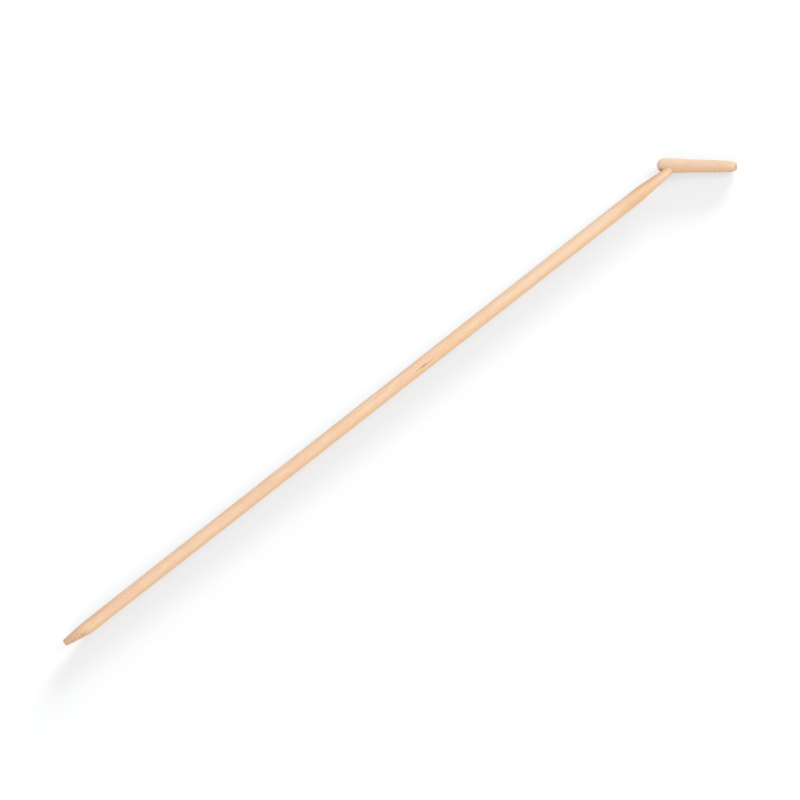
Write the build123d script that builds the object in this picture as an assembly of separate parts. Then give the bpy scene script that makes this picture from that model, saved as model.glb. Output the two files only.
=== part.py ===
"""A long garden dibber of ash: a straight pole with a blunt point, and a turned grip set across it at an angle.

Three separate pieces. The pole runs from its point to a tapered tenon, the grip has the tapered socket that
the tenon fits, and a hardwood dowel driven through both from below locks them. Lengths are in millimetres.

Frame: the dibber lies as it does on flat ground. The origin is on the pole's axis, in the plane of the
point's end face. +X runs along the pole to the grip, the grip's long side leans to -Y, and +Z is up.
"""

from build123d import *
import os
from math import asin, cos, degrees, hypot, radians, sin

# Pole. Stations are distances along its axis from the point's end face.
POLE_LENGTH = 1500.0
POLE_DIAMETER = 27.0
POINT_LENGTH = 54.0
POINT_BASE_DIAMETER = 26.1  # the pole is a little thinner near its point
POINT_END_DIAMETER = 12.6
POINT_OFF_AXIS = (2.3, 2.0)  # Y and Z of the end face's centre: the point is cut slightly out of true
POINT_SOFTNESS = 0.11  # 0 gives a straight cone with a sharp shoulder, more rounds the shoulder
POINT_SECTIONS = 9
POINT_RIM_RADIUS = 1.2
THIN_END_LENGTH = 400.0  # the pole has its full diameter from here
NECK_STATION = 1408.0
NECK_SHOULDER_RADIUS = 120.0
TENON_END_DIAMETER = 12.5
TENON_CHAMFER = 0.8

# Grip. Stations are distances along its own axis from where it crosses the pole's, positive on its long side.
CROSSING_STATION = 1494.0  # on the pole
GRIP_ANGLE = 50.0  # between the grip's long side and the line of the pole carried on past its end
THICK_RADIUS = 14.0
BUTT_CENTRE = -23.3  # the centre of the domed butt
THICK_END = 3.0
WAIST = (15.0, 13.15)  # station and radius at three places along the slimming side
MIDDLE = (52.0, 12.3)
SHOULDER = (102.0, 11.1)
SHOULDER_SLOPE = -0.025
FREE_END = 122.7
END_FACE_RADIUS = 7.6
END_EDGE_RADIUS = 1.6

# The joint of the two.
GLUE_GAP = 0.05
SOCKET_BOTTOM_GAP = 0.3
DOWEL_STATION = 1489.0  # on the pole
DOWEL_RADIUS = 2.5
DOWEL_GAP = 0.05
DOWEL_COVER = 3.8  # wood of the grip left over the dowel's inner end
DOWEL_CHAMFER = 0.4

POLE_RADIUS = POLE_DIAMETER / 2
TENON_END_RADIUS = TENON_END_DIAMETER / 2
POINT_BASE_RADIUS = POINT_BASE_DIAMETER / 2
TAPER_SLOPE = (POLE_RADIUS - TENON_END_RADIUS) / (POLE_LENGTH - NECK_STATION)

# The long side is thinner than the butt, so it drops to the ground and rolls the whole dibber a little.
ROLL = degrees(asin((THICK_RADIUS - SHOULDER[1]) / (SHOULDER[0] * sin(radians(GRIP_ANGLE)))))
ROLLED = Rot(X=ROLL)
GRIP_PLACE = ROLLED * Pos(X=CROSSING_STATION) * Rot(Z=-GRIP_ANGLE)

# Heights over the pole's axis where the dowel's line leaves the grip, the same above and below.
DOWEL_OFF_GRIP_AXIS = (CROSSING_STATION - DOWEL_STATION) * sin(radians(GRIP_ANGLE))
GRIP_SURFACE = THICK_RADIUS * cos(asin(DOWEL_OFF_GRIP_AXIS / THICK_RADIUS))


def turned(outline, rounded=()):
    """Turn a closed outline in the XY plane about X, after rounding (corner, radius) pairs of it."""
    face = make_face(outline)
    for corner, radius in rounded:
        vertex = face.vertices().sort_by_distance(corner)[0]
        face = fillet(vertex, radius)
    return revolve(face, axis=Axis.X)


def taper_radius(station):
    """Radius of the neck and tenon's cone at a station on the pole."""
    return POLE_RADIUS - (station - NECK_STATION) * TAPER_SLOPE


def make_shaft():
    """The pole from the base of its point to the end of its tenon."""
    outline = Polyline(
        (POINT_LENGTH, 0),
        (POINT_LENGTH, POINT_BASE_RADIUS),
        (THIN_END_LENGTH, POLE_RADIUS),
        (NECK_STATION, POLE_RADIUS),
        (POLE_LENGTH, TENON_END_RADIUS),
        (POLE_LENGTH, 0),
        close=True,
    )
    shaft = turned(outline, [((NECK_STATION, POLE_RADIUS, 0), NECK_SHOULDER_RADIUS)])
    tenon_edge = shaft.edges().filter_by(GeomType.CIRCLE).sort_by(Axis.X)[-1]
    return chamfer(tenon_edge, TENON_CHAMFER)


def point_section(share):
    """Section of the point at a share of the way from its base (0) to its end (1).

    The outline is a hyperbola: tangent to the pole at the base, and soon a straight flank.
    """
    fall = (hypot(share, POINT_SOFTNESS) - POINT_SOFTNESS) / (hypot(1, POINT_SOFTNESS) - POINT_SOFTNESS)
    radius = POINT_BASE_RADIUS - fall * (POINT_BASE_RADIUS - POINT_END_DIAMETER / 2)
    off_y, off_z = POINT_OFF_AXIS
    plane = Plane.YZ.offset(POINT_LENGTH * (1 - share))
    return (plane * Pos(fall * off_y, fall * off_z) * Circle(radius)).face()


def make_point():
    """The blunt point: a slightly lopsided cone that ends in a small flat."""
    shares = [1 - count / (POINT_SECTIONS - 1) for count in range(POINT_SECTIONS)]
    return loft([point_section(share) for share in shares])


def dowel_bore(top):
    """Cutter for the dowel's hole, from well below the grip to a height over the pole's axis."""
    bottom = -2 * THICK_RADIUS
    bore = Cylinder(DOWEL_RADIUS + DOWEL_GAP, top - bottom, align=(Align.CENTER, Align.CENTER, Align.MIN))
    return ROLLED * Pos(X=DOWEL_STATION, Z=bottom) * bore


def make_pole():
    """The whole pole, cross-drilled for the dowel through its tenon."""
    pole = make_shaft() + make_point()
    rim = pole.edges().sort_by(Axis.X)[0]
    pole = fillet(rim, POINT_RIM_RADIUS)
    return pole - dowel_bore(2 * THICK_RADIUS)


def make_grip_blank():
    """The turned grip before it is bored: domed butt, slimming side, and a rounded end with a small flat."""
    dome_top = (BUTT_CENTRE, THICK_RADIUS)
    side_start = (THICK_END, THICK_RADIUS)
    end_corner = (FREE_END, END_FACE_RADIUS)
    slope = (1, SHOULDER_SLOPE)
    outline = [
        CenterArc((BUTT_CENTRE, 0), THICK_RADIUS, 90, 90),
        Line(dome_top, side_start),
        Spline(side_start, WAIST, MIDDLE, SHOULDER, tangents=[(1, 0), slope]),
        TangentArc(SHOULDER, end_corner, tangent=slope),
        Line(end_corner, (FREE_END, 0)),
        Line((FREE_END, 0), (BUTT_CENTRE - THICK_RADIUS, 0)),
    ]
    return turned(outline, [((*end_corner, 0), END_EDGE_RADIUS)])


def make_socket():
    """Cutter for the grip's tapered socket: the tenon's cone, grown by the glue gap."""
    depth = POLE_LENGTH + SOCKET_BOTTOM_GAP
    outline = Polyline(
        (NECK_STATION, 0),
        (NECK_STATION, taper_radius(NECK_STATION) + GLUE_GAP),
        (depth, taper_radius(depth) + GLUE_GAP),
        (depth, 0),
        close=True,
    )
    return turned(outline)


def make_grip():
    """The grip in its place on the pole, with the socket and the blind hole for the dowel."""
    grip = GRIP_PLACE * make_grip_blank()
    return grip - make_socket() - dowel_bore(GRIP_SURFACE - DOWEL_COVER + DOWEL_GAP)


def make_dowel():
    """The locking dowel, driven in from below and cut flush with the grip's underside."""
    top = GRIP_SURFACE - DOWEL_COVER
    length = top + 2 * THICK_RADIUS
    dowel = Cylinder(DOWEL_RADIUS, length, align=(Align.CENTER, Align.CENTER, Align.MAX))
    dowel = chamfer(dowel.edges().filter_by(GeomType.CIRCLE).sort_by(Axis.Z)[-1], DOWEL_CHAMFER)
    return (ROLLED * Pos(X=DOWEL_STATION, Z=top) * dowel) & (GRIP_PLACE * make_grip_blank())


def main():
    nodes = {"pole": make_pole(), "grip": make_grip(), "locking_dowel": make_dowel()}
    os.makedirs("parts", exist_ok=True)
    for name, shape in nodes.items():
        export_step(shape, f"parts/{name}.step")
        box = shape.bounding_box()
        print(name, "solids", len(shape.solids()), "volume", round(shape.volume), "from", box.min, "to", box.max)


main()
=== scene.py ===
# %% [markdown]
# # A long garden dibber of ash
#
# A dibber makes planting holes. This one is long enough to use standing up: a round ash pole with a blunt point
# at its foot, and a turned hand grip set across its head at a slant. Three pieces of wood make it.
#
# - The pole, planed and sanded by hand, tapers at its head to a tenon.
# - The grip, turned on a lathe, has a tapered socket for that tenon.
# - A hardwood dowel, driven in from below, locks the two.
#
# The solid model already says where each piece is and how it fits. This file makes the pieces again with finer
# surfaces, and gives the wood its grain. Everything is in metres, in the solid model's frame: the origin is on
# the pole's axis at the point's end face, +X runs along the pole to the grip, and +Z is up.

# %% Load the solid model
from math import asin, atan2, cos, hypot, pi, radians, sin, sqrt, tau

import bmesh
import bpy
from mathutils import Euler, Matrix, Vector
from mathutils.bvhtree import BVHTree


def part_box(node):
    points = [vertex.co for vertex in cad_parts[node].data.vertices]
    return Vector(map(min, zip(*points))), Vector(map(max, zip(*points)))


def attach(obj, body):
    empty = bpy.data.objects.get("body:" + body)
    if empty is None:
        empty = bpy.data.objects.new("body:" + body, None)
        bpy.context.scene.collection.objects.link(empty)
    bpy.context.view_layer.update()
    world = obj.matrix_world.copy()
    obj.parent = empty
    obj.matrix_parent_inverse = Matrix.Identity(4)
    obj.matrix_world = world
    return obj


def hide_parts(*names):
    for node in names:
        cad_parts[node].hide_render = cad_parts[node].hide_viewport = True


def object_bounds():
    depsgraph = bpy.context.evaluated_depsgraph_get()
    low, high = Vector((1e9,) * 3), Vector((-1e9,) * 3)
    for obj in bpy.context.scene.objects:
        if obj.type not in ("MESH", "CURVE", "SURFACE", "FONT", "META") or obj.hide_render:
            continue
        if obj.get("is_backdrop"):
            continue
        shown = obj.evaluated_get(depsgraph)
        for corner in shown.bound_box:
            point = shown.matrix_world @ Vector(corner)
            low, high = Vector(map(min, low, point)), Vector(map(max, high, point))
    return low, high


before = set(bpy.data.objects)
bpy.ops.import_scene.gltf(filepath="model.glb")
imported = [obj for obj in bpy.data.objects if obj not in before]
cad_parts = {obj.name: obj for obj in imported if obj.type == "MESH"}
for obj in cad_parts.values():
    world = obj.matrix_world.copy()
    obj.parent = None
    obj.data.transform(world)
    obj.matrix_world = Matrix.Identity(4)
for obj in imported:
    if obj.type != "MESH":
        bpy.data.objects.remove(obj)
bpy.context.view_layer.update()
pole_low, pole_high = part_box("pole")

# %% [markdown]
# ## Writing node trees as arithmetic
#
# The lathe and the wood below are both node trees. Placing a Math node for every plus sign hides the rule it
# stands for, so a small class lets a socket be used in ordinary arithmetic, and each step makes its node.

# %% Arithmetic on sockets
MILLIMETRE = 0.001


class Field:
    """A number or vector that a node tree works out at every point."""

    def __init__(self, graph, socket):
        self.graph = graph
        self.socket = socket

    def __add__(self, other):
        return self.graph.math("ADD", self, other)

    def __radd__(self, other):
        return self.graph.math("ADD", other, self)

    def __sub__(self, other):
        return self.graph.math("SUBTRACT", self, other)

    def __rsub__(self, other):
        return self.graph.math("SUBTRACT", other, self)

    def __mul__(self, other):
        return self.graph.math("MULTIPLY", self, other)

    def __rmul__(self, other):
        return self.graph.math("MULTIPLY", other, self)

    def __truediv__(self, other):
        return self.graph.math("DIVIDE", self, other)


class Graph:
    """Adds nodes to a tree and wires them. A value is a Field, a socket or a plain constant."""

    def __init__(self, tree):
        self.tree = tree

    def put(self, socket, value):
        if isinstance(value, Field):
            value = value.socket
        if isinstance(value, bpy.types.NodeSocket):
            self.tree.links.new(value, socket)
        else:
            socket.default_value = value

    def node(self, kind, inputs=None, **settings):
        made = self.tree.nodes.new(kind)
        for name, value in settings.items():
            setattr(made, name, value)
        for key, value in (inputs or {}).items():
            self.put(made.inputs[key], value)
        return made

    def field(self, kind, inputs=None, output=0, **settings):
        return Field(self, self.node(kind, inputs, **settings).outputs[output])

    def math(self, operation, *values):
        return self.field("ShaderNodeMath", dict(enumerate(values)), operation=operation)

    def split(self, vector):
        made = self.node("ShaderNodeSeparateXYZ", {0: vector})
        return [Field(self, socket) for socket in made.outputs]

    def join(self, x, y, z):
        return self.field("ShaderNodeCombineXYZ", {0: x, 1: y, 2: z})

    def length(self, *sides):
        squares = [side * side for side in sides]
        total = squares[0]
        for square in squares[1:]:
            total = total + square
        return self.math("SQRT", total)

    def stretched(self, place, length, width):
        """A split place, counted in lengths along X and in widths across it."""
        x, y, z = place
        return self.join(x / length, y / width, z / width)

    def ramp(self, value, start, end):
        """0 before start, 1 after end, and smooth between them. A start above the end runs it backwards."""
        return self.field(
            "ShaderNodeMapRange",
            {"Value": value, "From Min": start, "From Max": end},
            interpolation_type="SMOOTHSTEP",
        )

    def noise(self, place, seed, detail=2.0):
        """Soft noise about 0, mostly between -0.5 and 0.5, with bumps about one unit of place apart."""
        inputs = {"Vector": place, "W": seed, "Scale": 1.0, "Detail": detail}
        return self.field("ShaderNodeTexNoise", inputs, noise_dimensions="4D") - 0.5


# %% [markdown]
# ## The lathe
#
# All three pieces are round about an axis, so one tree turns them all. A turner cuts to a template, and so does
# this tree. The template is a line of points whose X is the place along the axis and whose Y is the radius. The
# tree lays a grid with one row for each point of the template, then rolls the grid into a tube.
#
# Real pieces are never quite round. A spokeshave leaves long shallow flats and a sander waves the surface a
# little, so slow noise moves it by up to a tenth of a millimetre. It fades to nothing where the piece has to
# fit another. The point leans a little off the axis, as a point cut by eye does.
#
# Merging the grid's edges closes the seam and both poles.

# %% The lathe's node tree
SAME_PLACE = 1e-7
TRUING_LENGTH = 0.03  # the unevenness fades over this length before a fit
TRUE_CORE = 0.006  # and over this radius towards the axis, so an end face stays flat


def new_geometry_tree(name, sizes):
    """A geometry tree with these named inputs: (name, socket type, default) for each."""
    tree = bpy.data.node_groups.new(name, "GeometryNodeTree")
    tree.is_modifier = True
    for label, kind, default in sizes:
        socket = tree.interface.new_socket(label, in_out="INPUT", socket_type=kind)
        if default is not None:
            socket.default_value = default
    tree.interface.new_socket("Geometry", in_out="OUTPUT", socket_type="NodeSocketGeometry")
    return tree


def make_lathe():
    tree = new_geometry_tree(
        "Lathe",
        [
            ("Template", "NodeSocketObject", None),
            ("Segments", "NodeSocketInt", 96),
            ("Unevenness", "NodeSocketFloat", 0.0),
            ("Flat Length", "NodeSocketFloat", 0.1),
            ("True From", "NodeSocketFloat", 10.0),
            ("Lean", "NodeSocketVector", (0.0, 0.0, 0.0)),
            ("Lean Length", "NodeSocketFloat", 0.05),
            ("Lean Softness", "NodeSocketFloat", 0.11),
            ("Place", "NodeSocketVector", (0.0, 0.0, 0.0)),
            ("Turn", "NodeSocketVector", (0.0, 0.0, 0.0)),
            ("Seed", "NodeSocketFloat", 1.0),
            ("Finish", "NodeSocketMaterial", None),
        ],
    )
    graph = Graph(tree)
    source = graph.node("NodeGroupInput")
    size = {socket.name: Field(graph, socket) for socket in source.outputs if socket.name}

    template = graph.field("GeometryNodeObjectInfo", {"Object": size["Template"]}, output="Geometry")
    rows = graph.field("GeometryNodeAttributeDomainSize", {0: template}, output="Point Count", component="MESH")
    columns = size["Segments"] + 1
    grid = graph.field("GeometryNodeMeshGrid", {"Vertices X": rows, "Vertices Y": columns}, output="Mesh")

    index = graph.field("GeometryNodeInputIndex")
    row = graph.math("FLOOR", (index + 0.5) / columns)
    column = index - row * columns
    position = graph.field("GeometryNodeInputPosition")
    outline = graph.field(
        "GeometryNodeSampleIndex", {"Geometry": template, "Value": position, "Index": row}, data_type="FLOAT_VECTOR"
    )
    along, radius, _ = graph.split(outline)
    angle = column / size["Segments"] * tau
    side_y = graph.math("COSINE", angle)
    side_z = graph.math("SINE", angle)

    spot = graph.join(along / size["Flat Length"], side_y, side_z)
    loose = 1.0 - graph.ramp(along, size["True From"] - TRUING_LENGTH, size["True From"])
    outer = graph.ramp(radius, 0.0, TRUE_CORE)
    worn = radius + graph.noise(spot, size["Seed"]) * size["Unevenness"] * loose * outer

    share = graph.math("MAXIMUM", 1.0 - along / size["Lean Length"], 0.0)
    soft = size["Lean Softness"]
    fall = (graph.length(share, soft) - soft) / (graph.length(1.0, soft) - soft)
    _, lean_y, lean_z = graph.split(size["Lean"])
    rolled = graph.join(along, worn * side_y + lean_y * fall, worn * side_z + lean_z * fall)

    tube = graph.field("GeometryNodeSetPosition", {"Geometry": grid, "Position": rolled})
    closed = graph.field("GeometryNodeMergeByDistance", {"Geometry": tube, "Distance": SAME_PLACE})
    placed = graph.field(
        "GeometryNodeTransform", {"Geometry": closed, "Translation": size["Place"], "Rotation": size["Turn"]}
    )
    real = graph.field("GeometryNodeRealizeInstances", {"Geometry": placed})
    smooth = graph.field("GeometryNodeSetShadeSmooth", {"Geometry": real})
    finished = graph.field("GeometryNodeSetMaterial", {"Geometry": smooth, "Material": size["Finish"]})
    sink = graph.node("NodeGroupOutput")
    graph.put(sink.inputs[0], finished)
    return tree


lathe = make_lathe()
print("lathe nodes", len(lathe.nodes))

# %% [markdown]
# To turn a piece, its template goes in as a plain object, and the lathe's inputs are set by their identifiers
# before anything is evaluated. The evaluated result then becomes a plain mesh of its own, and the template and
# the modifier go. Faces are turned outwards at the end, because that is what the sawing and drilling need.

# %% Turn a piece to its template


def bare_object(name, mesh):
    made = bpy.data.objects.new(name, mesh)
    bpy.context.scene.collection.objects.link(made)
    return made


def discard(*objects):
    for piece in objects:
        bpy.data.objects.remove(piece)


def face_outwards(mesh):
    """Turn every face outwards. Gives how many edges don't join two faces, which should be none, and the volume."""
    work = bmesh.new()
    work.from_mesh(mesh)
    bmesh.ops.recalc_face_normals(work, faces=work.faces)
    open_edges = sum(1 for edge in work.edges if len(edge.link_faces) != 2)
    volume = work.calc_volume()
    work.to_mesh(mesh)
    work.free()
    return open_edges, volume


def settle(piece, name):
    """The piece as its modifiers show it, as a new object with a plain mesh. The old one goes."""
    bpy.context.view_layer.update()
    evaluated = piece.evaluated_get(bpy.context.evaluated_depsgraph_get())
    mesh = bpy.data.meshes.new_from_object(evaluated)
    discard(piece)
    mesh.name = name
    open_edges, volume = face_outwards(mesh)
    print(f"{name}: {len(mesh.polygons)} faces, {open_edges} open edges, {volume * 1e6:.1f} cubic centimetres")
    return bare_object(name, mesh)


def turn_piece(name, template_points, sizes):
    """Run the lathe on a template given as (station, radius) points, in metres. Sizes are its other inputs."""
    line = bpy.data.meshes.new(name + "_template")
    joins = [(count, count + 1) for count in range(len(template_points) - 1)]
    line.from_pydata([(station, radius, 0.0) for station, radius in template_points], joins, [])
    template = bare_object(name + "_template", line)
    blank = bare_object(name + "_blank", bpy.data.meshes.new(name + "_blank"))
    cut = blank.modifiers.new("Lathe", "NODES")
    cut.node_group = lathe
    identifiers = {item.name: item.identifier for item in lathe.interface.items_tree if item.in_out == "INPUT"}
    for label, value in {"Template": template, **sizes}.items():
        cut[identifiers[label]] = value
    piece = settle(blank, name)
    discard(template)
    return piece


# %% [markdown]
# ## Ash
#
# Ash is ring-porous. Each spring the tree lays down a band of wide open pores, and over the summer a band of
# dense pale wood. On a long-grain surface the pores show as fine broken scratches, gathered into stripes, and
# on end grain they are dots along the rings.
#
# So the wood is made in the round and not painted on: a rule in three dimensions says how far each spot is from
# the tree's pith, which ring that falls in, and how far through that ring's year it is. The same rule then
# gives stripes along the pole, ovals on the slopes and arcs on the ends, and they agree where they meet.
#
# The rule's own place has X along the grain and counts in millimetres.

# %% The wood's node group
ASH_PALE = (0.785, 0.536, 0.358, 1.0)
ASH_CREAM = (0.805, 0.588, 0.412, 1.0)
ASH_BLUSH = (0.765, 0.502, 0.332, 1.0)
ASH_WARM = (0.825, 0.507, 0.272, 1.0)
ASH_SPRING = (0.600, 0.375, 0.215, 1.0)
ASH_PORE = (0.360, 0.205, 0.110, 1.0)
ASH_END = (0.470, 0.300, 0.180, 1.0)
RING_WIDTH = 2.3
# The length along the grain and the width across it of each thing that varies.
TRUNK_BEND = (330.0, 90.0)
RING_WAVE = (60.0, 25.0)
FIBRE = (14.0, 0.35)
PORE = (4.5, 0.42)
CLOUD = (120.0, 16.0)
STRIPE = (36.0, 5.5)
BLUSH = (22.0, 7.0)


def new_shader_group(name, inputs, outputs):
    tree = bpy.data.node_groups.new(name, "ShaderNodeTree")
    for label, kind, default in inputs:
        socket = tree.interface.new_socket(label, in_out="INPUT", socket_type=kind)
        socket.default_value = default
    for label, kind in outputs:
        tree.interface.new_socket(label, in_out="OUTPUT", socket_type=kind)
    graph = Graph(tree)
    source = graph.node("NodeGroupInput")
    sink = graph.node("NodeGroupOutput")
    size = {socket.name: Field(graph, socket) for socket in source.outputs if socket.name}
    return tree, graph, size, sink


def blend(graph, share, first, second, way="MIX"):
    """Mix two colours. Share 0 gives the first."""
    made = graph.node("ShaderNodeMix", {"Factor": share}, data_type="RGBA", blend_type=way)
    graph.put(made.inputs[6], first)
    graph.put(made.inputs[7], second)
    return Field(graph, made.outputs[2])


def make_ash():
    tree, graph, size, sink = new_shader_group(
        "Ash",
        [
            ("Place", "NodeSocketVector", (0.0, 0.0, 0.0)),
            ("Pith", "NodeSocketVector", (0.0, 0.0, -60.0)),
            ("Push", "NodeSocketFloat", 0.0),
            ("Heart Edge", "NodeSocketFloat", 40.0),
            ("End Grain", "NodeSocketFloat", 0.0),
            ("Seed", "NodeSocketFloat", 1.0),
        ],
        [("Color", "NodeSocketColor"), ("Roughness", "NodeSocketFloat"), ("Height", "NodeSocketFloat")],
    )
    place = graph.split(size["Place"])
    _, y, z = place
    _, pith_y, pith_z = graph.split(size["Pith"])
    seed = size["Seed"]

    slow = graph.noise(graph.stretched(place, *TRUNK_BEND), seed, detail=1.0)
    quick = graph.noise(graph.stretched(place, *RING_WAVE), seed + 3.0)
    depth = graph.length(y - pith_y, z - pith_z) + slow * 9.0 + quick * 1.2 + size["Push"]
    uneven = graph.noise(graph.join(depth / 8.0, 0.0, 0.0), seed + 7.0)
    rings = (depth + uneven * 3.0) / RING_WIDTH
    year = graph.math("FLOOR", rings)
    season = rings - year
    good_year = graph.field("ShaderNodeTexWhiteNoise", {"W": year}, noise_dimensions="1D")

    spring = graph.ramp(season, 0.0, 0.05) * graph.ramp(season, 0.55, 0.15)
    autumn = graph.ramp(season, 0.72, 0.98)
    fibre = graph.noise(graph.stretched(place, *FIBRE), seed + 11.0)
    pore_place = graph.stretched(place, *PORE)
    from_pore = graph.field("ShaderNodeTexVoronoi", {"Vector": pore_place, "Scale": 1.0}, output="Distance")
    open_pore = graph.ramp(from_pore, 0.42, 0.22)
    pore = open_pore * (spring * 0.9 + 0.1)
    cloud = graph.noise(graph.stretched(place, *CLOUD), seed + 17.0)
    stripe = graph.noise(graph.stretched(place, *STRIPE), seed + 23.0)
    blush = graph.noise(graph.stretched(place, *BLUSH), seed + 29.0)
    heart = graph.ramp(depth + cloud * 5.0, size["Heart Edge"] + 3.0, size["Heart Edge"] - 3.0)

    warm = graph.math("ADD", heart * 0.85 + cloud * 0.7, autumn * 0.2 + good_year * 0.12)
    warm.socket.node.use_clamp = True
    colour = blend(graph, graph.ramp(stripe, 0.0, 0.15) * 0.9, ASH_PALE, ASH_CREAM)
    colour = blend(graph, graph.ramp(stripe, 0.0, -0.15) * 0.9, colour, ASH_BLUSH)
    colour = blend(graph, warm, colour, ASH_WARM)
    colour = blend(graph, spring * (0.16 + good_year * 0.14), colour, ASH_SPRING)
    colour = blend(graph, pore * 0.7, colour, ASH_PORE)
    light = 1.0 + fibre * 0.16
    tint = graph.join(light, light - blush * 0.12, light + blush * 0.18)
    colour = blend(graph, 1.0, colour, tint, way="MULTIPLY")
    colour = blend(graph, size["End Grain"] * 0.75, colour, ASH_END)
    graph.put(sink.inputs["Color"], colour)

    rough = 0.40 + spring * 0.07 + pore * 0.25 + fibre * 0.12 + size["End Grain"] * 0.25
    graph.put(sink.inputs["Roughness"], rough)
    height = autumn * 0.012 - spring * 0.012 - pore * 0.06 + fibre * 0.02
    graph.put(sink.inputs["Height"], height)
    return tree


ash = make_ash()
print("ash nodes", len(ash.nodes))

# %% [markdown]
# A finish puts that wood on a piece. The mapping node is set to the piece's own grain: it moves the piece back
# to the rule's origin, turns its grain to X and changes metres to millimetres. Where the surface faces along
# the grain it is end grain, which drinks more and looks darker and duller.

# %% A finish in ash
WOOD_SHINE = 0.5
BUMP_STRENGTH = 0.6


class Finish:
    """An ash material being written: its graph, the wood's node, and the shader that shows it."""

    def __init__(self, name, place, turn, pith, heart_edge, seed):
        self.material = bpy.data.materials.new(name)
        self.material.use_nodes = True
        graph = Graph(self.material.node_tree)
        self.graph = graph
        self.shader = self.material.node_tree.nodes["Principled BSDF"]
        self.shader.inputs["Specular IOR Level"].default_value = WOOD_SHINE
        coordinates = graph.node("ShaderNodeTexCoord")
        to_grain = {
            "Vector": coordinates.outputs["Object"],
            "Location": place,
            "Rotation": turn,
            "Scale": [MILLIMETRE] * 3,
        }
        self.grain_place = graph.field("ShaderNodeMapping", to_grain, vector_type="TEXTURE")
        grain = turn.to_matrix() @ Vector((1.0, 0.0, 0.0))
        facing = graph.field(
            "ShaderNodeVectorMath",
            {0: coordinates.outputs["Normal"], 1: grain},
            output="Value",
            operation="DOT_PRODUCT",
        )
        end_grain = graph.ramp(graph.math("ABSOLUTE", facing), 0.55, 0.95)
        self.wood = graph.node("ShaderNodeGroup", node_tree=ash)
        settings = {
            "Place": self.grain_place,
            "Pith": pith,
            "Heart Edge": heart_edge,
            "End Grain": end_grain,
            "Seed": seed,
        }
        for label, value in settings.items():
            graph.put(self.wood.inputs[label], value)
        self.colour = self.wood.outputs["Color"]
        self.roughness = self.wood.outputs["Roughness"]
        self.height = self.wood.outputs["Height"]

    def finished(self):
        graph = self.graph
        graph.put(self.shader.inputs["Base Color"], self.colour)
        graph.put(self.shader.inputs["Roughness"], self.roughness)
        bump = {"Strength": BUMP_STRENGTH, "Distance": MILLIMETRE, "Height": self.height}
        graph.put(self.shader.inputs["Normal"], graph.field("ShaderNodeBump", bump))
        return self.material


# %% [markdown]
# ## The pole
#
# The pole is one length of ash, 27 mm thick once sanded and 1.5 m long with its tenon. Its template follows it
# from the point to the tenon: a small flat with a softened rim, a flank that turns smoothly into the pole, a
# first stretch a shade thinner than the rest, the long straight shaft, and the taper that goes into the grip.
# Stations stand close together where the outline bends and further apart where it is straight.

# %% The pole's outline
POLE_LENGTH = pole_high.x - pole_low.x
POLE_RADIUS = pole_high.y
POINT_LENGTH = 0.054
POINT_BASE_RADIUS = 0.01305
POINT_END_RADIUS = 0.0063
POINT_SOFTNESS = 0.11
POINT_LEAN = (0.0, 0.0023, 0.002)
RIM_RADIUS = 0.0012
THIN_END_LENGTH = 0.4
NECK_STATION = 1.408
NECK_SOFTNESS = 0.005
TENON_END_RADIUS = 0.00625
TENON_CHAMFER = 0.0008
TAPER_SLOPE = (POLE_RADIUS - TENON_END_RADIUS) / (POLE_LENGTH - NECK_STATION)


def taper_radius(station):
    """The cone of the neck and tenon."""
    return POLE_RADIUS - (station - NECK_STATION) * TAPER_SLOPE


def pole_radius(station):
    """The pole's outline without its ends."""
    if station < POINT_LENGTH:
        share = 1.0 - station / POINT_LENGTH
        fall = (hypot(share, POINT_SOFTNESS) - POINT_SOFTNESS) / (hypot(1.0, POINT_SOFTNESS) - POINT_SOFTNESS)
        return POINT_BASE_RADIUS - fall * (POINT_BASE_RADIUS - POINT_END_RADIUS)
    if station < THIN_END_LENGTH:
        share = (station - POINT_LENGTH) / (THIN_END_LENGTH - POINT_LENGTH)
        return POINT_BASE_RADIUS + share * (POLE_RADIUS - POINT_BASE_RADIUS)
    beyond = station - NECK_STATION
    past_shoulder = (beyond + hypot(beyond, NECK_SOFTNESS)) / 2.0
    return POLE_RADIUS - past_shoulder * TAPER_SLOPE


def stations(start, end, spacing):
    """Evenly spaced places from start up to, but not including, end."""
    count = max(1, round((end - start) / spacing))
    return [start + (end - start) * step / count for step in range(count)]


def quarter_round(station, radius, size, steps):
    """A rounded rim that starts square to the axis at a station and ends along it, size further on."""
    turns = [pi / 2 * step / steps for step in range(steps)]
    return [(station + size * (1.0 - cos(turn)), radius - size + size * sin(turn)) for turn in turns]


def flat_disc(station, radius, rings):
    """An end face, from its centre outwards, without its last ring."""
    return [(station, radius * ring / rings) for ring in range(rings)]


pole_outline = flat_disc(0.0, POINT_END_RADIUS - RIM_RADIUS, 6)
pole_outline += quarter_round(0.0, pole_radius(RIM_RADIUS), RIM_RADIUS, 6)
for start, end, spacing in [
    (RIM_RADIUS, POINT_LENGTH + 0.004, 0.0015),
    (POINT_LENGTH + 0.004, NECK_STATION - 0.02, 0.004),
    (NECK_STATION - 0.02, POLE_LENGTH - TENON_CHAMFER, 0.002),
]:
    pole_outline += [(station, pole_radius(station)) for station in stations(start, end, spacing)]
tenon_face = taper_radius(POLE_LENGTH) - TENON_CHAMFER
pole_outline += [(POLE_LENGTH - TENON_CHAMFER, taper_radius(POLE_LENGTH - TENON_CHAMFER))]
pole_outline += [(POLE_LENGTH, tenon_face)]
pole_outline += reversed(flat_disc(POLE_LENGTH, tenon_face, 4))
print("pole outline has", len(pole_outline), "points")

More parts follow.
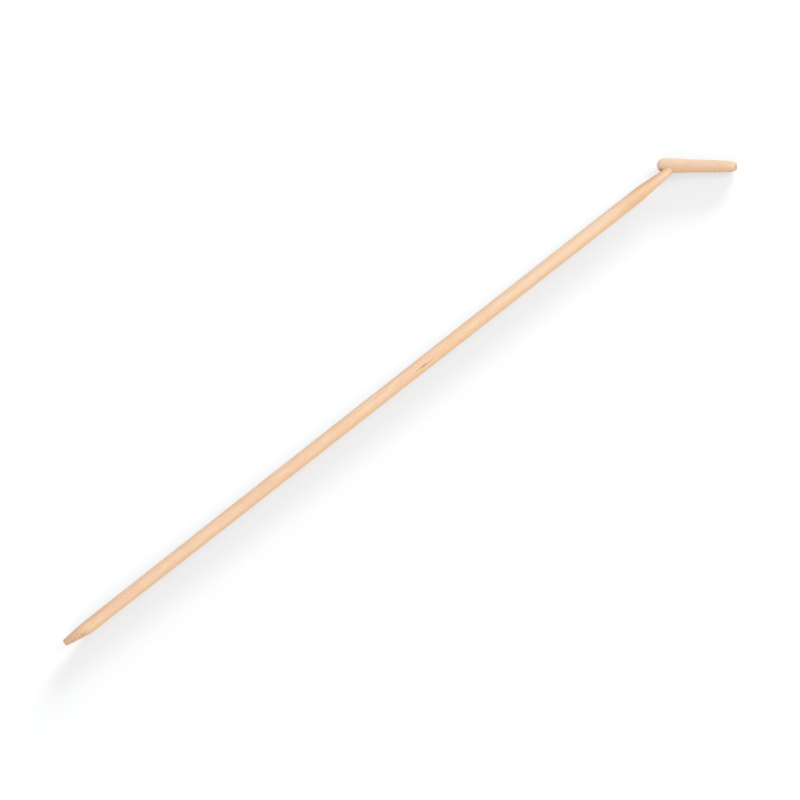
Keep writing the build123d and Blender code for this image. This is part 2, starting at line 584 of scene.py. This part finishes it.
# %% [markdown]
# The pole's finish is ash whose pith lay below and in front of it, so the warmer heartwood shows as a stripe
# along that side, swelling here and there. It adds what marks this pole: a dark mineral streak a little past the
# middle, two pin knots that the rings bend round, a paler upper side towards the head, and warm patches near both
# ends.
#
# Use has left its marks too. Soil has stained the point, most at its end, and has lodged in specks up its flank.

# %% Places on the pole
POLE_PITH = (0.0, -42.0, -38.0)
POLE_HEART_EDGE = 50.5
HEART_SWELLS = [  # station, reach either way, swell
    (690.0, 60.0, 2.5),
    (950.0, 60.0, 4.0),
    (1100.0, 35.0, 3.0),
    (1390.0, 60.0, 3.5),
]
POLE_KNOTS = [(363.0, 1.65, 1.1), (774.0, -2.68, 0.8)]  # station, angle about X, radius
WARM_PATCHES = [  # station, angle, reach along, reach round, strength
    (85.0, 1.45, 75.0, 9.0, 0.5),
    (1395.0, 2.75, 80.0, 15.0, 0.42),
    (1435.0, 1.2, 66.0, 12.5, 0.9),
]
STREAK = (874.0, 2.59)  # station, angle about X
STREAK_SLANT = 0.04
SCUFF = (39.0, 2.8, 13.0, 5.0)
PALE_HEAD = (1040.0, 1085.0, 1310.0, 1385.0)
PALE_HEAD_ANGLE = 1.7
KNOT_COLOUR = (0.210, 0.105, 0.048, 1.0)
STREAK_COLOUR = (0.210, 0.085, 0.030, 1.0)
SOIL_COLOUR = (0.520, 0.240, 0.115, 1.0)
SPECK_COLOUR = (0.370, 0.200, 0.105, 1.0)
PATCH_COLOUR = (0.650, 0.385, 0.205, 1.0)
HEAD_COLOUR = (0.775, 0.595, 0.450, 1.0)


def around(graph, y, z, angle):
    """Distance round the pole from an angle, in the same unit as y and z, and how far the spot is on that side."""
    across = z * cos(angle) - y * sin(angle)
    towards = y * cos(angle) + z * sin(angle)
    return across, towards


def blotch(graph, place, station, angle, length, width):
    """1 at a place on the pole, fading out over a length along it and a width round it."""
    x, y, z = place
    across, towards = around(graph, y, z, angle)
    away = graph.length((x - station) / length, across / width)
    return graph.ramp(away, 1.0, 0.2) * graph.ramp(towards, 2.0, 6.0)


# %% The pole's finish


def make_pole_finish():
    finish = Finish("pole_ash", (0.0, 0.0, 0.0), Euler((0.0, 0.0, 0.0)), POLE_PITH, POLE_HEART_EDGE, 2.0)
    graph = finish.graph
    place = graph.split(finish.grain_place)
    x, y, z = place
    edge = POLE_HEART_EDGE
    for station, reach, swell in HEART_SWELLS:
        edge = graph.ramp(graph.math("ABSOLUTE", x - station), reach, 0.0) * swell + edge
    graph.put(finish.wood.inputs["Heart Edge"], edge)

    start, full, fading, end = PALE_HEAD
    _, towards = around(graph, y, z, PALE_HEAD_ANGLE)
    head = graph.ramp(x, start, full) * graph.ramp(x, end, fading) * graph.ramp(towards, 3.0, 11.0)
    finish.colour = blend(graph, head * 0.35, finish.colour, HEAD_COLOUR)
    for *spot, strength in WARM_PATCHES:
        finish.colour = blend(graph, blotch(graph, place, *spot) * strength, finish.colour, PATCH_COLOUR)

    push = 0.0
    for station, angle, radius in POLE_KNOTS:
        across, towards = around(graph, y, z, angle)
        away = graph.length((x - station) / 1.7, across)
        near_side = graph.ramp(towards, 2.0, 6.0)
        ripple = graph.ramp(away, radius * 5.0, 0.0) * near_side
        push = ripple * (radius * 2.2) + push
        core = graph.ramp(away, radius, radius * 0.45) * near_side
        finish.colour = blend(graph, core * 0.7, finish.colour, KNOT_COLOUR)
    graph.put(finish.wood.inputs["Push"], push)

    station, angle = STREAK
    across, towards = around(graph, y, z, angle)
    drift = across - (x - station) * STREAK_SLANT + graph.noise(graph.join(x / 14.0, 0.0, 0.0), 5.0) * 0.5
    drift = drift + graph.noise(graph.stretched(place, 7.0, 0.6), 6.0) * 1.2
    along = graph.math("ABSOLUTE", x - station)
    middle = graph.ramp(along, 14.0, 2.0)
    ends = graph.ramp(along, 42.0, 12.0)
    thread = graph.ramp(graph.math("ABSOLUTE", drift) / (middle * 0.7 + 1.0), 1.0, 0.2)
    thread = thread * (ends * 0.47 + middle * 0.32) * graph.ramp(towards, 2.0, 6.0)
    finish.colour = blend(graph, thread, finish.colour, STREAK_COLOUR)

    patches = graph.noise(graph.stretched(place, 9.0, 5.0), 21.0, detail=4.0)
    soil = graph.ramp(x + patches * 70.0, 60.0, -2.0)
    finish.colour = blend(graph, soil * 0.48, finish.colour, SOIL_COLOUR)
    grit = graph.noise(graph.stretched(place, 3.2, 2.0), 22.0, detail=3.0)
    specks = graph.ramp(grit, 0.0, 0.14) * graph.ramp(x, 54.0, 24.0) * 0.65
    scuff = blotch(graph, place, *SCUFF) * graph.ramp(grit, -0.15, 0.1) * 0.7
    finish.colour = blend(graph, graph.math("MAXIMUM", specks, scuff), finish.colour, SPECK_COLOUR)
    finish.roughness = Field(graph, finish.roughness) + soil * 0.2
    return finish.finished()


pole_finish = make_pole_finish()

# %% [markdown]
# The tenon has to fit its socket, so the unevenness stops short of it. The hole for the dowel is drilled
# through the tenon once the pole is turned.

# %% Where the grip and the dowel cross the pole
GRIP_ANGLE = radians(50.0)
CROSSING = Vector((1.494, 0.0, 0.0))
THICK_RADIUS = 0.014
SHOULDER = (0.102, 0.0111)
ROLL = asin((THICK_RADIUS - SHOULDER[1]) / (SHOULDER[0] * sin(GRIP_ANGLE)))
DOWEL_STATION = 1.489
DOWEL_RADIUS = 0.0025
DOWEL_GAP = 0.00005


def rod_outline(start, end, radius, chamfer=0.0, ring=0.0007):
    """A plain rod, flat at both ends, with its last edge chamfered if asked."""
    outline = flat_disc(start, radius, 3)
    outline += [(station, radius) for station in stations(start, end - chamfer, ring)]
    outline += [(end - chamfer, radius)]
    if chamfer:
        outline += [(end, radius - chamfer)]
    return outline + list(reversed(flat_disc(end, radius - chamfer, 3)))


def carve(piece, shape, operation):
    """DIFFERENCE takes a closed shape out of the piece, INTERSECT keeps only what is inside it. The shape goes."""
    saw = piece.modifiers.new("Carve", "BOOLEAN")
    saw.operation = operation
    saw.solver = "EXACT"
    saw.object = shape
    made = settle(piece, piece.name)
    discard(shape)
    return made


# %% Turn the pole and drill its tenon
dowel_turn = (Matrix.Rotation(ROLL, 3, "X") @ Matrix.Rotation(-pi / 2, 3, "Y")).to_euler()
dowel_place = (DOWEL_STATION, 0.0, 0.0)


def drill(start, end):
    """A drill bit along the dowel's line, between two heights over the pole's axis."""
    outline = rod_outline(start, end, DOWEL_RADIUS + DOWEL_GAP)
    return turn_piece("drill", outline, {"Segments": 48, "Place": dowel_place, "Turn": dowel_turn})


pole_sizes = {
    "Segments": 96,
    "Unevenness": 0.00022,
    "Flat Length": 0.085,
    "True From": 1.465,
    "Lean": POINT_LEAN,
    "Lean Length": POINT_LENGTH,
    "Lean Softness": POINT_SOFTNESS,
    "Seed": 4.0,
    "Finish": pole_finish,
}
pole = turn_piece("pole_of_ash", pole_outline, pole_sizes)
pole = carve(pole, drill(-2 * THICK_RADIUS, 2 * THICK_RADIUS), "DIFFERENCE")

# %% [markdown]
# ## The grip
#
# The grip is turned from its own piece of ash. Its butt is a full dome, the side slims along the hand, and the
# far end rounds over to a small flat where the lathe's centre held it. The template is an arc, a straight, an
# easy curve through four places and another arc.
#
# Its colour is painted paler on the upper far side, a painted highlight, with a small knot on the near one. Painted
# shade greys it at the butt beside the neck, along its underside and near the free end, whose end face is painted
# darker and browner, partly as its end grain and partly as painted shade.

# %% The grip's outline
BUTT_CENTRE = -0.0233
FREE_END = 0.1227
END_FACE_RADIUS = 0.0076
END_EDGE = 0.0018
GRIP_SIDE = [  # station, radius and slope
    (0.003, THICK_RADIUS, 0.0),
    (0.015, 0.01315, -0.055),
    (0.052, 0.0123, -0.018),
    (*SHOULDER, -0.025),
]


def easy_curve(first, last, steps):
    """Points of the smooth curve between two places that leaves and arrives at their slopes."""
    (start, start_radius, start_slope), (end, end_radius, end_slope) = first, last
    span = end - start
    points = []
    for step in range(steps):
        part = step / steps
        left = 1.0 - part
        radius = left * left * (1.0 + 2.0 * part) * start_radius + part * part * (3.0 - 2.0 * part) * end_radius
        radius += span * part * left * (left * start_slope - part * end_slope)
        points.append((start + span * part, radius))
    return points


def arc_on(start, slope, end, steps):
    """The arc that leaves start at a slope and passes through end, without its last point."""
    begin, finish = Vector(start), Vector(end)
    inward = Vector((slope, -1.0)).normalized()
    chord = finish - begin
    size = chord.length_squared / (2.0 * chord.dot(inward))
    centre = begin + inward * size
    first = atan2(-inward.y, -inward.x)
    last = atan2(finish.y - centre.y, finish.x - centre.x)
    turns = [first + (last - first) * step / steps for step in range(steps)]
    return [(centre.x + size * cos(turn), centre.y + size * sin(turn)) for turn in turns]


def soft_corner(before, corner, after, steps):
    """An eased corner, from before to after."""
    points = []
    for step in range(steps):
        part = step / steps
        left = 1.0 - part
        weights = (left * left, 2.0 * left * part, part * part)
        places = (before, corner, after)
        points.append(tuple(sum(w * p[axis] for w, p in zip(weights, places)) for axis in range(2)))
    return points


dome_turns = [pi - pi / 2 * step / 24 for step in range(24)]
grip_outline = [(BUTT_CENTRE + THICK_RADIUS * cos(turn), THICK_RADIUS * sin(turn)) for turn in dome_turns]
grip_outline += [(station, THICK_RADIUS) for station in stations(BUTT_CENTRE, GRIP_SIDE[0][0], 0.0012)]
for first, last in zip(GRIP_SIDE, GRIP_SIDE[1:]):
    grip_outline += easy_curve(first, last, round((last[0] - first[0]) / 0.0012))
end_arc = arc_on(SHOULDER, GRIP_SIDE[-1][2], (FREE_END, END_FACE_RADIUS), 20)
grip_outline += end_arc[:-1]
face_edge = (FREE_END, END_FACE_RADIUS - END_EDGE)
grip_outline += soft_corner(end_arc[-1], (FREE_END, END_FACE_RADIUS), face_edge, 6)
grip_outline += reversed(flat_disc(FREE_END, face_edge[1], 6) + [face_edge])
grip_outline[0] = (BUTT_CENTRE - THICK_RADIUS, 0.0)
print("grip outline has", len(grip_outline), "points")

# %% The grip's fit and its marks
GLUE_GAP = 0.00005
SOCKET_BOTTOM_GAP = 0.0003
DOWEL_COVER = 0.0038
GRIP_PITH = (0.0, -52.0, -31.0)
GRIP_HEART_EDGE = 55.5
# A paler, less warm colour painted on the grip's upper far side: a painted highlight.
PAINTED_HIGHLIGHT_COLOUR = (0.830, 0.625, 0.465, 1.0)
# Painted shade: grey-brown spots where shade falls, in the crook of the butt beside the neck, along the underside
# by the neck and under the free end.
PAINTED_SHADE_SPOTS = [  # place, reach along, reach across, strength
    ((-26.0, -13.0, 1.0), 10.5, 10.5, 0.9),
    ((16.0, -11.8, -6.8), 22.0, 4.5, 0.4),
    ((114.0, -9.4, -2.4), 9.0, 5.0, 0.65),
]
GRIP_KNOT = (83.0, -11.6, -0.5)
GRIP_KNOT_REACH = 2.3
# The free end painted darker and browner: partly its end grain, partly painted shade on the end face.
DARK_END_GRAIN_AND_SHADE = (122.7, 3.0, 10.0, 0.24)  # station, reach along, reach across, strength
DARK_END_GRAIN_AND_SHADE_COLOUR = (0.450, 0.262, 0.146, 1.0)
# The grey-brown of the painted shade.
PAINTED_SHADE_COLOUR = (0.340, 0.300, 0.262, 1.0)
grip_turn = (Matrix.Rotation(ROLL, 3, "X") @ Matrix.Rotation(-GRIP_ANGLE, 3, "Z")).to_euler()
dowel_off_axis = (CROSSING.x - DOWEL_STATION) * sin(GRIP_ANGLE)
dowel_top = sqrt(THICK_RADIUS**2 - dowel_off_axis**2) - DOWEL_COVER


def reamer():
    """The tenon's own cone, a hair larger, for the socket."""
    deep = POLE_LENGTH + SOCKET_BOTTOM_GAP
    cone = [(station, taper_radius(station) + GLUE_GAP) for station in stations(NECK_STATION, deep, 0.002)]
    mouth = flat_disc(NECK_STATION, cone[0][1], 4)
    bottom = taper_radius(deep) + GLUE_GAP
    return mouth + cone + [(deep, bottom)] + list(reversed(flat_disc(deep, bottom, 4)))


def turn_grip(name, finish):
    sizes = {
        "Segments": 96,
        "Unevenness": 0.00016,
        "Flat Length": 0.03,
        "Place": CROSSING,
        "Turn": grip_turn,
        "Seed": 9.0,
        "Finish": finish,
    }
    return turn_piece(name, grip_outline, sizes)


def make_grip_finish():
    finish = Finish("grip_ash", CROSSING, grip_turn, GRIP_PITH, GRIP_HEART_EDGE, 31.0)
    graph = finish.graph
    place = graph.split(finish.grain_place)
    x, y, z = place
    # Painted highlight: the grip's upper far side is made paler.
    painted_highlight = graph.ramp(y * 0.85 + z * 0.52, -4.0, 11.0)
    finish.colour = blend(graph, painted_highlight * 0.5, finish.colour, PAINTED_HIGHLIGHT_COLOUR)
    # Noise that roughens the edges of the painted shade and of the darker free end.
    ragged_edge = graph.noise(graph.stretched(place, 4.0, 4.0), 41.0) * 0.5
    # Paint the shade spots onto the wood.
    for (spot_x, spot_y, spot_z), along, across, strength in PAINTED_SHADE_SPOTS:
        away = graph.length((x - spot_x) / along, (y - spot_y) / across, (z - spot_z) / across) + ragged_edge
        finish.colour = blend(graph, graph.ramp(away, 1.0, 0.2) * strength, finish.colour, PAINTED_SHADE_COLOUR)
    knot_x, knot_y, knot_z = GRIP_KNOT
    knot = graph.ramp(graph.length(x - knot_x, y - knot_y, z - knot_z), GRIP_KNOT_REACH, 0.5)
    finish.colour = blend(graph, knot * 0.8, finish.colour, KNOT_COLOUR)
    # Darken the free end: partly end grain colour, partly painted shade.
    end, along, across, strength = DARK_END_GRAIN_AND_SHADE
    worn = graph.ramp(graph.length((x - end) / along, y / across, z / across) + ragged_edge, 1.0, 0.2)
    finish.colour = blend(graph, worn * strength, finish.colour, DARK_END_GRAIN_AND_SHADE_COLOUR)
    return finish.finished()


grip_finish = make_grip_finish()
grip = turn_grip("grip_of_ash", grip_finish)
grip = carve(grip, turn_piece("reamer", reamer(), {"Segments": 96}), "DIFFERENCE")
grip = carve(grip, drill(-2 * THICK_RADIUS, dowel_top + DOWEL_GAP), "DIFFERENCE")

# %% [markdown]
# ## The dowel
#
# The dowel is a plain hardwood rod, chamfered at its leading end, driven in from below, and sanded off flush.
# Sanding is what a Boolean intersection with the grip's blank does. Its end grain is the only part that shows.

# %% The dowel
DOWEL_CHAMFER = 0.0004
BEECH_TINT = (0.86, 0.72, 0.62, 1.0)


def make_dowel_finish():
    finish = Finish("dowel_hardwood", dowel_place, dowel_turn, (0.0, 9.0, 21.0), 0.0, 57.0)
    finish.colour = blend(finish.graph, 1.0, finish.colour, BEECH_TINT, way="MULTIPLY")
    return finish.finished()


dowel_finish = make_dowel_finish()
rod = rod_outline(-1.4 * THICK_RADIUS, dowel_top, DOWEL_RADIUS, DOWEL_CHAMFER)
dowel_sizes = {"Segments": 48, "Place": dowel_place, "Turn": dowel_turn, "Finish": dowel_finish}
dowel = turn_piece("dowel_of_beech", rod, dowel_sizes)
dowel = carve(dowel, turn_grip("grip_blank", dowel_finish), "INTERSECT")

# %% [markdown]
# ## Putting the three in the frame
#
# Each piece is already where the solid model has it. It rides on the dibber's one body and stands for its solid
# twin. Edges
# sharper than 30 degrees stay crisp: the rims of the drilled hole, the mouth of the socket and the tenon's end.

# %% Ride, replace and check against the solids
CRISP_ANGLE = radians(30.0)


def farthest_from(piece, node):
    """The largest distance, in millimetres, from the piece's points to the surface of its solid twin.

    The solid's triangles are a metre long and a hair wide, and on those the nearest point is found only roughly.
    So the way along the point's own normal is tried as well, in and out, and the shortest of the three counts.
    """
    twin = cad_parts[node].data
    surface = BVHTree.FromPolygons([v.co.copy() for v in twin.vertices], [p.vertices[:] for p in twin.polygons])
    farthest = 0.0
    for vertex in piece.data.vertices:
        ways = [surface.find_nearest(vertex.co)[3]]
        for normal in (vertex.normal, -vertex.normal):
            reached = surface.ray_cast(vertex.co, normal)[3]
            if reached is not None:
                ways.append(reached)
        farthest = max(farthest, min(ways))
    return farthest / MILLIMETRE


for piece, node, slot in [
    (pole, "pole", "pole_ash"),
    (grip, "grip", "grip_ash"),
    (dowel, "locking_dowel", "dowel_hardwood"),
]:
    piece.data.set_sharp_from_angle(angle=CRISP_ANGLE)
    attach(piece, "root")
    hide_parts(node)
    print(piece.name, "is within", round(farthest_from(piece, node), 2), "mm of its solid")

# %% [markdown]
# ## Floor and light
#
# The dibber lies on a white table that glows a little, as a light table does, so its shadows stay faint. Five
# lights share the work.
#
# - A white sky lights everything from all round.
# - A large soft panel above the head, on the near side, gives the wood its roundness.
# - A long strip over the camera draws the soft line of sheen along the pole.
# - Two wide panels, low and a long way off, light the floor alone. The far one draws the long pale shadow out to
#   the near side of the dibber, the near one draws a faint short one behind it, and neither rims the wood.

# %% Sizes and places of the lights
FLOOR_SIZE = 30.0
FLOOR_COLOUR = (0.217, 0.220, 0.224, 1.0)
FLOOR_GLOW = 0.52
SKY = 0.85
LIGHTS = {  # direction, distance, length, width, power
    "panel": ((0.79, -0.40, 0.46), 8.0, 4.4, 4.4, 252.0),
    "strip": ((0.0, -0.662, 0.749), 4.0, 3.6, 0.8, 25.0),
}
FLOOR_LIGHTS = {
    "far_panel": ((0.81, 0.563, 0.162), 25.0, 15.0, 4.8, 29500.0),
    "near_panel": ((-0.45, -0.79, 0.42), 12.0, 6.0, 5.0, 1300.0),
}

# %% Floor, sky and lights


def make_floor(height):
    half = FLOOR_SIZE / 2
    corners = [(-half, -half, height), (half, -half, height), (half, half, height), (-half, half, height)]
    mesh = bpy.data.meshes.new("floor")
    mesh.from_pydata(corners, [], [(0, 1, 2, 3)])
    white = bpy.data.materials.new("floor_white")
    white.use_nodes = True
    shader = white.node_tree.nodes["Principled BSDF"]
    shader.inputs["Base Color"].default_value = FLOOR_COLOUR
    shader.inputs["Roughness"].default_value = 1.0
    shader.inputs["Specular IOR Level"].default_value = 0.0
    shader.inputs["Emission Color"].default_value = (1.0, 1.0, 1.0, 1.0)
    shader.inputs["Emission Strength"].default_value = FLOOR_GLOW
    mesh.materials.append(white)
    floor = bare_object("floor", mesh)
    floor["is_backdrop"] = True
    return floor


def make_sky():
    sky = bpy.data.worlds.new("sky")
    sky.use_nodes = True
    sky.node_tree.nodes["Background"].inputs["Color"].default_value = (1.0, 1.0, 1.0, 1.0)
    sky.node_tree.nodes["Background"].inputs["Strength"].default_value = SKY
    bpy.context.scene.world = sky


def make_light(name, target, towards, distance, length, width, power):
    """A rectangle of light that faces the target from a distance, with its length level."""
    light = bpy.data.lights.new(name, "AREA")
    light.shape = "RECTANGLE"
    light.size = length
    light.size_y = width
    light.energy = power
    lamp = bare_object(name, light)
    direction = Vector(towards).normalized()
    side = Vector((0.0, 0.0, 1.0)).cross(direction).normalized()
    lamp.location = target + direction * distance
    lamp.rotation_euler = Matrix((side, direction.cross(side), direction)).transposed().to_euler()
    return lamp


visual_low, visual_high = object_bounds()
middle = (visual_low + visual_high) / 2
floor = make_floor(visual_low.z)
floor_alone = bpy.data.collections.new("floor_alone")
floor_alone.objects.link(floor)
make_sky()
for name, settings in LIGHTS.items():
    make_light(name, middle, *settings)
for name, settings in FLOOR_LIGHTS.items():
    make_light(name, middle, *settings).light_linking.receiver_collection = floor_alone
bpy.context.scene.view_settings.view_transform = "Standard"

# %% [markdown]
# ## Camera
#
# A long lens from 4 m away, well above the dibber, looks down on it from its near side. The camera is rolled
# so that the dibber runs from the lower left to the upper right, and the grip lies level.

# %% Camera
VIEW_FROM_UPRIGHT = radians(41.463)
CAMERA_ROLL = radians(38.136)
CAMERA_DISTANCE = 4.0
LENS = 93.39
SIDE_STEP = 0.0566
UP_STEP = 0.0095


def make_camera():
    back = Vector((0.0, -sin(VIEW_FROM_UPRIGHT), cos(VIEW_FROM_UPRIGHT)))
    along = Vector((1.0, 0.0, 0.0))
    across = back.cross(along)
    right = along * cos(CAMERA_ROLL) - across * sin(CAMERA_ROLL)
    up = along * sin(CAMERA_ROLL) + across * cos(CAMERA_ROLL)
    data = bpy.data.cameras.new("camera")
    data.lens = LENS
    data.dof.use_dof = False
    camera = bare_object("camera", data)
    pole_middle = along * (CROSSING.x / 2)
    camera.location = pole_middle + right * SIDE_STEP + up * UP_STEP + back * CAMERA_DISTANCE
    camera.rotation_euler = Matrix((right, up, back)).transposed().to_euler()
    bpy.context.scene.camera = camera


make_camera()

# %% [markdown]
# ## Sizes
#
# The pieces made here must fill the same space as the solids, so their box is printed.

# %% Print the size of the pieces
visual_low, visual_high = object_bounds()
print("visual", [round(side, 5) for side in visual_high - visual_low])
